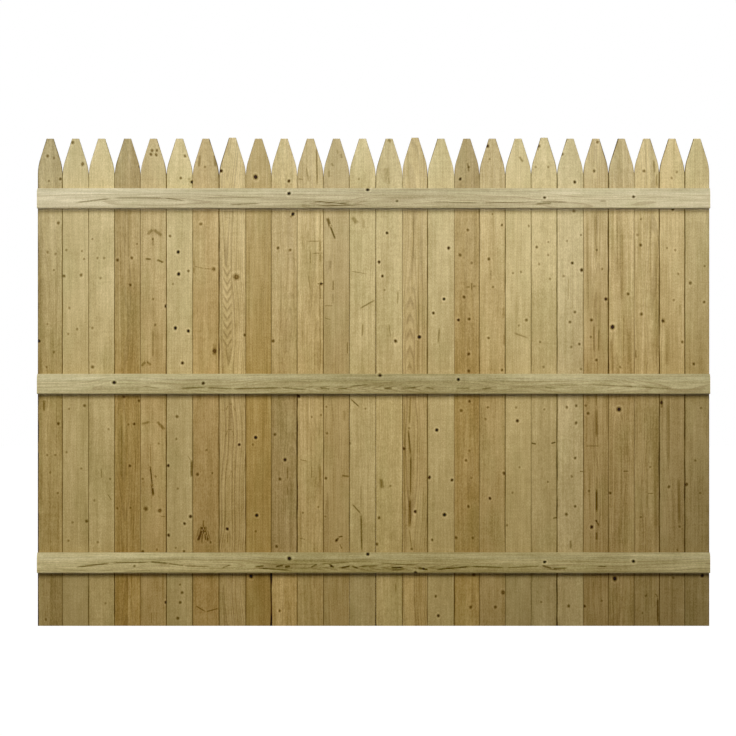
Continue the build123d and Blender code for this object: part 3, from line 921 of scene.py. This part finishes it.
def lay(mesh, name, marks, behind=np.inf):
    """Gives each face the mark that is nearest to it, and keeps at its corners where they lie in that mark
    and how dark it is. The shader draws the mark from that, sharper than the mesh is. Faces whose Y is behind
    or more have none."""
    place = read(mesh.vertices, "co", 3)
    middle = read(mesh.polygons, "center", 3)
    around = read(mesh.polygons, "loop_total", kind=np.int32)
    corner = read(mesh.loops, "vertex_index", kind=np.int32)
    kept = np.tile(NO_MARK, (len(corner), 1))
    if marks:
        table = np.array(marks)
        dx = middle[:, 0, None] - table[:, 0]
        dz = middle[:, 2, None] - table[:, 1]
        spread = np.maximum(np.hypot(*in_mark(dx, dz, table)), 1e-6)
        gap = np.hypot(dx, dz) * (1 - 1 / spread)
        # Where two marks meet, the narrower one shows
        nearest = (np.maximum(gap - 3 * MM, 0.0) + 0.05 * table[:, 2]).argmin(axis=1)
        chosen = table[np.repeat(nearest, around)]
        at = place[corner]
        kept[:, 0], kept[:, 1] = in_mark(at[:, 0] - chosen[:, 0], at[:, 2] - chosen[:, 1], chosen)
        kept[:, 2] = chosen[:, 5]
        kept[np.repeat(middle[:, 1] >= behind, around)] = NO_MARK
    attribute = mesh.attributes.new(name, "FLOAT_VECTOR", "CORNER")
    attribute.data.foreach_set("vector", kept.astype(np.float32).ravel())


def dry_in(mesh, knots, face_y):
    """Knots dry less than the wood round them: their middles stand level, and the wood dips round them."""
    place = read(mesh.vertices, "co", 3)
    on_face = place[:, 1] < face_y + 0.9 * MM
    for knot in knots:
        radius = (knot.half_wide * knot.half_long) ** 0.5
        distance = np.hypot(place[:, 0] - knot.x, place[:, 2] - knot.z) / radius
        ring = np.exp(-((distance - 1.5) ** 2) / 0.5)
        place[on_face, 1] += (ring * KNOT_DIP * min(radius / (3 * MM), 1.2))[on_face]
    mesh.vertices.foreach_set("co", place.ravel())
    mesh.update()


# The softwood finish, part by part on one bench

def pattern(bench, given, across, along, detail=2.0, roughness=0.5, shift=0.0):
    """Noise that changes so many times in a metre across a board and into it, and so many times along it."""
    start = given["Seed"] + shift
    return bench.noise(bench.stretch(given["Vector"], across, across, along, start), detail, roughness)


def year_rings(bench, given, growth, wander, knot_pull):
    """How much latewood shows where the year rings come to the surface. They lie round the heart of the tree,
    which wanders along the board, and they part round a knot."""
    across, depth, along = bench.split(given["Vector"])
    ring = given["Ring"]
    from_turn = along - given["Turn"]
    smooth_rise = bench.math("SQRT", from_turn * from_turn + 0.004)
    x = across - given["Pith"] + (wander[0] - 0.5) * (ring * 10.0)
    y = depth + given["Deep"] + smooth_rise * given["Lean"] + (wander[1] - 0.5) * (ring * 6.0)
    y = bench.math("MAXIMUM", y, 1.5 * MM)
    radius = bench.distance(x, y) + (growth - 0.5) * (ring * 2.2) + knot_pull * (8 * MM)
    years = radius / ring
    uneven_years, strong_years, _ = bench.line_noise(years * 0.55 + given["Seed"])
    in_year = bench.math("FRACT", years + uneven_years * 1.3)
    late = bench.ramp(in_year, 0.30, 0.88) * bench.fade(in_year, 0.93, 1.0)
    return late * bench.ramp(strong_years, 0.3, 0.65, 0.35, 1.0)


def with_flame(bench, given, growth, wander, late):
    """The latewood with a flame in it, where the saw ran out through the rings: arches above each other."""
    across, _, along = bench.split(given["Vector"])
    axis, low, high = bench.split(given["Flame Place"])
    pitch, rise, half_wide = bench.split(given["Flame Shape"])
    from_axis = abs(across - axis + (growth - 0.5) * (half_wide * 0.9))
    level = from_axis * rise + along + wander[1] * pitch
    in_arch = bench.math("FRACT", level / pitch)
    arch = bench.ramp(in_arch, 0.3, 0.7) * bench.fade(in_arch, 0.8, 1.0)
    ends = bench.ramp(along - low, 0.0, 30 * MM) * bench.ramp(high - along, 0.0, 30 * MM)
    share = bench.fade(from_axis / half_wide, 0.75, 1.15) * ends
    return late * (1.0 - share) + arch * share


def streak_shade(bench, ragged):
    """How much of a streak, a crack or a smudge shows."""
    x, z, dark = bench.attribute("streak")
    wide = abs(x) * (ragged * 0.8 + 0.6)
    long = abs(z) * (ragged * 0.4 + 0.8)
    return bench.fade(wide, 0.3, 1.35) * bench.fade(long, 0.6, 1.1) * dark


def seam_shade(bench, given, rim, above_bottom, above_middle):
    """How dark a picket's two edges are: partly sawn darker and holding grime, partly painted shade where the
    gaps between the boards lie in shadow.
    """
    along = bench.split(given["Vector"])[2]
    moods = bench.line_noise(along * 9.0 + given["Seed"], 2.0)
    shades = []
    for distance, mood, side in ((rim[0], moods[0], "Left Seam"), (rim[1], moods[1], "Right Seam")):
        above, below, at_foot = bench.split(given[side])
        seam = at_foot + above_bottom * (below - at_foot)
        seam = seam + above_middle * (above - seam)
        seam = seam * bench.ramp(mood, 0.25, 0.7, 0.45, 1.2, "LINEAR")
        edge = bench.fade(distance / (seam * (2.6 * MM) + 1.3 * MM), 0.2, 1.1)
        shades.append(edge * (seam * 0.40 + 0.06))
    return shades[0] + shades[1]


def rail_shade(bench, given, rim):
    """A rail's own shades: darker towards the foot of its face, painted light on its underside against the
    shade that falls there, and ends paler than its middle.
    """
    along = bench.split(given["Vector"])[2]
    # Darker towards the foot of the face
    low_darkening = bench.fade(rim[0], 4 * MM, 24 * MM, 0.025)
    # Painted light: the underside and the foot of its arris are made paler against the shade that falls there
    underside = bench.fade(rim[0], 0.3 * MM, 1.2 * MM, 0.12)
    left_end = bench.ramp(along, 0.10, 1.22, 0.0, 0.162, "LINEAR")
    right_end = bench.ramp(along, -1.22, -0.15, 0.104, 0.0, "LINEAR")
    return underside - low_darkening + left_end + right_end - 0.062


def painted_rail_shading(bench, height_up, undersides):
    """Painted light and shade on the pickets' faces at each rail: right at its underside a pale strip of
    painted light, and below that a band of painted shadow."""
    shades = []
    for underside in undersides:
        below = underside - height_up
        # Painted shadow: a band from about 5 to 24 mm below the rail
        painted_shadow_band = bench.ramp(below, 5 * MM, 10 * MM) * bench.fade(below, 11 * MM, 24 * MM, 0.06)
        # Painted light within 8 mm of the underside, less the band of painted shadow
        shades.append(bench.fade(abs(below), 3 * MM, 8 * MM, 0.12) - painted_shadow_band)
    return shades[0] + shades[1] + shades[2]


def softwood_group(undersides):
    """Sawn or planed softwood. Its vector is across the board, into it and along it, in metres. undersides
    are the heights of the three rails' undersides."""
    bench, given = new_tree("softwood", "ShaderNodeTree", {
        "Color": ("Tone",),
        "Vector": ("Vector", "Light", "Left Seam", "Right Seam", "Flame Place", "Flame Shape"),
        "Float": (
            "Foot Light", "Seed", "Pith", "Deep", "Lean", "Turn", "Ring", "Figure", "Streaks", "Saw Marks",
        ),
    }, {"Color": ("Color",), "Float": ("Roughness",), "Vector": ("Normal",)})
    _, depth, along = bench.split(given["Vector"])
    height_up = bench.split(bench.get("ShaderNodeTexCoord", output="Object"))[2]
    above_bottom, above_middle, above_top = [bench.ramp(height_up, *band) for band in RAIL_BANDS]
    rim = bench.attribute("rim")
    is_rail = rim[2] < 0.5
    is_picket = 1.0 - is_rail

    # Knots
    ragged = pattern(bench, given, 420.0, 420.0, 1.0)
    knot_x, knot_z, knot_dark = bench.attribute("knot")
    from_knot = bench.distance(knot_x, knot_z) * (ragged * 0.5 + 0.75)
    knot_pull = bench.fade(from_knot, 0.5, 2.2) * knot_dark

    # Growth
    growth = pattern(bench, given, 28.0, 1.6)
    wander = bench.line_noise(along * 1.7 + given["Seed"], 1.5)
    late = year_rings(bench, given, growth, wander, knot_pull)
    late = with_flame(bench, given, growth, wander, late)

    # Fibres, streaks of darker growth, patches of treatment, and the fuzz, chatter and scratches of the saw
    fibre = pattern(bench, given, 1100.0, 14.0, roughness=0.6)
    streak = pattern(bench, given, 120.0, 3.2, roughness=0.6)
    patch = pattern(bench, given, 17.0, 4.0)
    green_patch = pattern(bench, given, 11.0, 5.0, 1.0, shift=31.0)
    blotch = pattern(bench, given, 62.0, 24.0)
    fuzz = pattern(bench, given, 300.0, 160.0, 3.0, 0.7)
    chatter = pattern(bench, given, 9.0, 95.0)
    scratch = pattern(bench, given, 26.0, 900.0, 1.0)

    # The upper part is paler, partly faded by the weather and partly a painted sheen, and the lower part is
    # darker, partly from moisture and partly painted shade where the light falls off. A rail's bevel and the
    # face just below it carry a painted highlight, and the heart of a knot is brown.
    colour = bench.blend(late * given["Figure"], given["Tone"], linear(LATEWOOD))
    colour = bench.blend(bench.ramp(green_patch, 0.45, 0.75, 0.0, 0.16), colour, linear(GREENISH))
    # Painted sheen: the upper part grows paler, partly faded by the weather and partly sheen where the light
    # falls from above
    bleach_and_sheen = bench.ramp(height_up, 0.95, 1.75, 0.0, 0.13, "LINEAR")
    colour = bench.blend(bleach_and_sheen, colour, linear(BLEACH_AND_SHEEN))
    # Painted shade: darker towards the feet, partly from moisture and partly the light falling off downwards
    damp_and_shade = bench.ramp(height_up, 0.0, 0.95, 1.0, 0.0, "LINEAR")
    colour = bench.blend(damp_and_shade, colour, linear(DAMP_AND_SHADE), "MULTIPLY")
    # Painted highlight along a rail's bevel and the top of its face, where the light from above catches them
    painted_bevel_highlight = is_rail * bench.fade(rim[1], RAIL_BEVEL, RAIL_BEVEL + 16 * MM, 0.07)
    colour = bench.blend(painted_bevel_highlight, colour, linear(BLEACH_AND_SHEEN))
    colour = bench.blend(bench.fade(from_knot, 0.5, 1.1) * knot_dark, colour, linear(KNOT_HEART))

    # What makes the wood lighter or darker than that, as the eye counts it
    tone = (streak - 0.5) * (given["Streaks"] * 0.22) + (scratch - 0.5) * (given["Saw Marks"] * 0.045)
    for noise, amount in ((patch, 0.14), (blotch, 0.09), (fibre, 0.036), (fuzz, 0.29), (chatter, 0.05)):
        tone = tone + (noise - 0.5) * amount

    # A knot: dark bark round its heart, in wood that is darker at first and paler further out
    knot_share = bench.fade(abs(from_knot - 0.7), 0.15, 0.45, 0.28) + bench.fade(from_knot, 0.35, 1.9, 0.72)
    pale_ring = bench.ramp(from_knot, 1.6, 2.1) * bench.fade(from_knot, 2.2, 3.2, 0.10)
    mark = streak_shade(bench, ragged)
    tone = tone + (pale_ring - knot_share) * knot_dark - mark * 0.36
    # The seams: partly grime, partly painted shade between the boards
    tone = tone - seam_shade(bench, given, rim, above_bottom, above_middle) * is_picket
    tone = tone + rail_shade(bench, given, rim) * is_rail
    # Painted light right under each rail and painted shadow below it
    tone = tone + painted_rail_shading(bench, height_up, undersides) * is_picket * (depth < 3 * MM)

    # The tone goes on to the colour, and then the light, as the eye counts them
    eye = bench.get("ShaderNodeGamma", {"Color": colour, "Gamma": 1 / EYE_GAMMA})
    eye = bench.vector_math("ADD", eye, bench.join(tone, tone, tone))
    eye = bench.vector_math("MAXIMUM", eye, DARKEST)
    head_light, upper_light, lower_light = bench.split(given["Light"])
    light = given["Foot Light"]
    light = light + above_bottom * (lower_light - light)
    light = light + above_middle * (upper_light - light)
    light = light + above_top * (head_light - light)
    eye = bench.get("ShaderNodeVectorMath", {0: eye, "Scale": light}, operation="SCALE")
    colour = bench.get("ShaderNodeGamma", {"Color": eye, "Gamma": EYE_GAMMA})

    height = fibre * 0.45 + fuzz * 0.9 + late * 0.25 + scratch * given["Saw Marks"] - mark * 0.8
    bump = bench.get("ShaderNodeBump", {"Strength": 0.7, "Distance": 0.35 * MM, "Height": height})
    roughness = fuzz * 0.16 + 0.62 - knot_share * 0.08
    bench.node("NodeGroupOutput", {"Color": colour, "Roughness": roughness, "Normal": bump})
    return bench.tree


def flame_of(node, face_y, centre, along_x):
    """Where a board's flame lies across and along it, and its shape, from the middle of the board."""
    if node not in FLAMES:
        return NO_FLAME
    x0, y0, x1, y1, pitch, rise, half_wide = FLAMES[node]
    start, end = panel_place(x0, y0, face_y), panel_place(x1, y1, face_y)
    shape = (pitch * METRES_PER_PIXEL, rise, half_wide * METRES_PER_PIXEL)
    if along_x:
        return (start[1] - centre, -end[0], -start[0]), shape
    return (start[0] - centre, end[1], start[1]), shape


def new_material(name):
    """A material, its bench and its shader."""
    material = bpy.data.materials.new(name)
    material.use_nodes = True
    return material, Bench(material.node_tree), material.node_tree.nodes["Principled BSDF"]


def seams_of(board):
    """How dark the seam on a board's right is."""
    return board.seam, board.low_seam, board.foot_seam


def softwood(name, wood, board, seed, left_seam, location, rotation, saw_marks, flame):
    """One board's own finish: the tree it came from, its tone and its seams. location and rotation turn the
    panel's coordinates into the board's own."""
    material, bench, shader = new_material(name)
    place = bench.get("ShaderNodeTexCoord", output="Object")
    mapping = {"Vector": place, "Location": location, "Rotation": rotation}
    group = bench.node("ShaderNodeGroup", {
        "Vector": bench.get("ShaderNodeMapping", mapping), "Tone": linear(board.tone), "Seed": seed,
        "Light": (board.light * board.head, board.light, board.low_light),
        "Foot Light": board.low_light * board.foot,
        "Pith": board.pith * MM, "Deep": board.deep * MM, "Lean": board.lean * MM, "Turn": board.turn * MM,
        "Ring": board.rings * MM, "Figure": board.figure, "Streaks": board.streaks, "Left Seam": left_seam,
        "Right Seam": seams_of(board), "Saw Marks": saw_marks,
        "Flame Place": flame[0], "Flame Shape": flame[1],
    }, node_tree=wood)
    colour, roughness, normal = [Value(bench, output) for output in group.outputs]
    bench.plug(shader, {
        "Base Color": colour, "Roughness": roughness, "Normal": normal, "Specular IOR Level": 0.12,
    })
    return material


def galvanised_wire():
    """Zinc-coated staple wire, dulled a little unevenly."""
    material, bench, shader = new_material("galvanised_wire")
    place = bench.get("ShaderNodeTexCoord", output="Object")
    cloud = bench.noise(bench.stretch(place, 260.0, 900.0, 260.0), 3.0, 0.6)
    bench.plug(shader, {
        "Base Color": bench.blend(bench.ramp(cloud, 0.35, 0.7), linear(ZINC), linear(DULL_ZINC)),
        "Metallic": 1.0,
        "Roughness": bench.ramp(cloud, 0.3, 0.75, 0.32, 0.55),
        "Normal": bench.get("ShaderNodeBump", {"Strength": 0.3, "Distance": 0.05 * MM, "Height": cloud}),
    })
    return material


# The pickets and the rails

def take_place(piece, node, knots, face_y, behind):
    """Marks a piece's faces, and puts it in the place of its plain solid."""
    dry_in(piece.data, knots, face_y)
    lay(piece.data, "knot", knots)
    lay(piece.data, "streak", streak_marks(node, face_y), behind)
    piece.data.set_sharp_from_angle(angle=SHARP_ANGLE)
    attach(piece, "root")
    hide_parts(node)


def saw_pickets(wood):
    tree = gothic_picket_tree()
    section = points("picket_section", picket_section())
    names = sorted(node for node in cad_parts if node.startswith("picket"))
    seam_on_left = FIRST_SEAM
    for number, node in enumerate(names):
        low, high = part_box(node)
        board = BOARDS[node]
        centre = (low.x + high.x) / 2
        knots = knot_marks(node, JOINT_Y, np.random.default_rng(100 + number))
        rings = [(0.0, 0.0, height) for height in ring_heights(high.z, knots)]
        material = softwood(
            "wood_" + node, wood, board, 3.7 * number + 1.3, seam_on_left, (-centre, -JOINT_Y, 0.0),
            (0.0, 0.0, 0.0), 0.5, flame_of(node, JOINT_Y, centre, False),
        )
        piece = make("sawn_" + node, rings, tree, {
            "Section": section, "Centre": centre, "Width": high.x - low.x, "Length": high.z,
            "Thickness": PICKET_BODY, "Arris": PICKET_ARRIS, "Tip Width": TIP_WIDTH,
            "Taper Angle": TAPER_ANGLE, "Head Radius": HEAD_RADIUS,
            "Left Swell": SEAM_SWELL if node != names[0] else 0.0,
            "Right Swell": SEAM_SWELL if node != names[-1] else 0.0,
            "Unevenness": SAWN_DIP, "Seed": float(number), "Material": material,
        })
        take_place(piece, node, knots, JOINT_Y, JOINT_Y + 2 * MM)
        seam_on_left = seams_of(board)
    bpy.data.objects.remove(section)


def plane_rails(wood):
    tree = bevelled_rail_tree()
    section = points("rail_section", rail_section())
    for number, node in enumerate(("rail_top", "rail_middle", "rail_bottom")):
        low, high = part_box(node)
        board = BOARDS[node]
        middle = (low.z + high.z) / 2
        knots = knot_marks(node, RAIL_FACE_Y, np.random.default_rng(200 + number))
        rings = [(place, 0.0, 0.0) for place in ring_lengths(low.x, high.x, knots)]
        material = softwood(
            "wood_" + node, wood, board, 91.0 + 5.3 * number, seams_of(board), (-middle, -RAIL_FACE_Y, 0.0),
            (0.0, radians(90), 0.0), 0.25, flame_of(node, RAIL_FACE_Y, middle, True),
        )
        piece = make("planed_" + node, rings, tree, {
            "Section": section, "Underside": low.z, "Height": RAIL_HEIGHT, "Bevel": RAIL_BEVEL,
            "Unevenness": PLANED_DIP, "Seed": 50.0 + number, "Material": material,
        })
        take_place(piece, node, knots, RAIL_FACE_Y, RAIL_FACE_Y + 3 * MM)
    bpy.data.objects.remove(section)


# Floor, light and camera

def pale_floor():
    """A plain floor that the camera sees as white, with a trace of the panel's shadow."""
    mesh = bpy.data.meshes.new("floor")
    corners = [(-1, -1), (1, -1), (1, 1), (-1, 1)]
    mesh.from_pydata([(x * FLOOR_REACH, y * FLOOR_REACH, 0) for x, y in corners], [], [(0, 1, 2, 3)])
    floor = bpy.data.objects.new("floor", mesh)
    bpy.context.scene.collection.objects.link(floor)
    material = bpy.data.materials.new("pale_floor")
    material.use_nodes = True
    material.node_tree.nodes.clear()
    bench = Bench(material.node_tree)
    seen = bench.get("ShaderNodeLightPath", output="Is Camera Ray")
    plain = bench.get("ShaderNodeBsdfDiffuse", {"Color": grey(FLOOR_GREY)})
    shadowed = bench.get("ShaderNodeBsdfDiffuse", {"Color": grey(SHADOW_GREY)})
    bright = bench.get("ShaderNodeEmission", {"Color": grey(1.0), "Strength": FLOOR_GLOW})
    white = bench.get("ShaderNodeAddShader", {0: bright, 1: shadowed})
    mixed = bench.get("ShaderNodeMixShader", {0: seen, 1: plain, 2: white})
    bench.node("ShaderNodeOutputMaterial", {"Surface": mixed})
    mesh.materials.append(material)


def softbox(name, place, aim, width, height, power, spread):
    """A soft lamp. Its size is in metres, its power in watts and its spread in degrees."""
    lamp = bpy.data.lights.new(name, "AREA")
    lamp.shape = "RECTANGLE"
    lamp.size = width
    lamp.size_y = height
    lamp.energy = power
    lamp.spread = radians(spread)
    thing = bpy.data.objects.new(name, lamp)
    bpy.context.scene.collection.objects.link(thing)
    thing.location = place
    thing.rotation_euler = (Vector(aim) - Vector(place)).to_track_quat("-Z", "Y").to_euler()


def studio():
    """Two large soft lights in front, a little above the panel, one behind it, and a dim even room. What the
    camera sees is white."""
    softbox("left_softbox", (-0.25, -3.8, 2.55), (-0.68, 0.0, 1.36), 3.2, 2.4, power=33.6, spread=70.0)
    softbox("right_softbox", (1.55, -3.8, 2.8), (1.45, 0.0, 2.15), 2.4, 2.4, power=15.8, spread=55.0)
    softbox("back_softbox", (0.3, 3.8, 2.4), (0.0, 0.0, 1.1), 3.2, 2.4, power=36.0, spread=90.0)
    world = bpy.data.worlds.new("studio")
    bpy.context.scene.world = world
    world.use_nodes = True
    world.node_tree.nodes.clear()
    bench = Bench(world.node_tree)
    seen = bench.get("ShaderNodeLightPath", output="Is Camera Ray")
    for ray in ("Is Transmission Ray", "Is Glossy Ray"):
        seen = bench.math("MAXIMUM", seen, bench.get("ShaderNodeLightPath", output=ray))
    strength = seen * (1.0 - ROOM_LIGHT) + ROOM_LIGHT
    back = bench.get("ShaderNodeBackground", {"Color": grey(1.0), "Strength": strength})
    bench.node("ShaderNodeOutputWorld", {"Surface": back})


def set_camera():
    """Square on to the panel, at the photograph's scale on the pickets' faces."""
    lens = bpy.data.cameras.new("camera")
    lens.sensor_width = SENSOR_WIDTH
    lens.lens = SENSOR_WIDTH * EYE_DISTANCE / (PHOTO_SIZE * METRES_PER_PIXEL)
    lens.shift_x = -(PHOTO_CENTRE_X - PHOTO_SIZE / 2) / PHOTO_SIZE
    lens.shift_y = (PHOTO_CENTRE_Y - PHOTO_SIZE / 2) / PHOTO_SIZE
    camera = bpy.data.objects.new("camera", lens)
    bpy.context.scene.collection.objects.link(camera)
    camera.location = (0.0, JOINT_Y - EYE_DISTANCE, EYE_HEIGHT)
    camera.rotation_euler = (radians(90), 0.0, 0.0)
    bpy.context.scene.camera = camera
    bpy.context.scene.view_settings.view_transform = "Standard"


wood = softwood_group([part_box(node)[0].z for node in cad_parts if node.startswith("rail")])
saw_pickets(wood)
plane_rails(wood)
wire = galvanised_wire()
for node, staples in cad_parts.items():
    if node.startswith("staples"):
        staples.data.materials.clear()
        staples.data.materials.append(wire)
pale_floor()
studio()
set_camera()
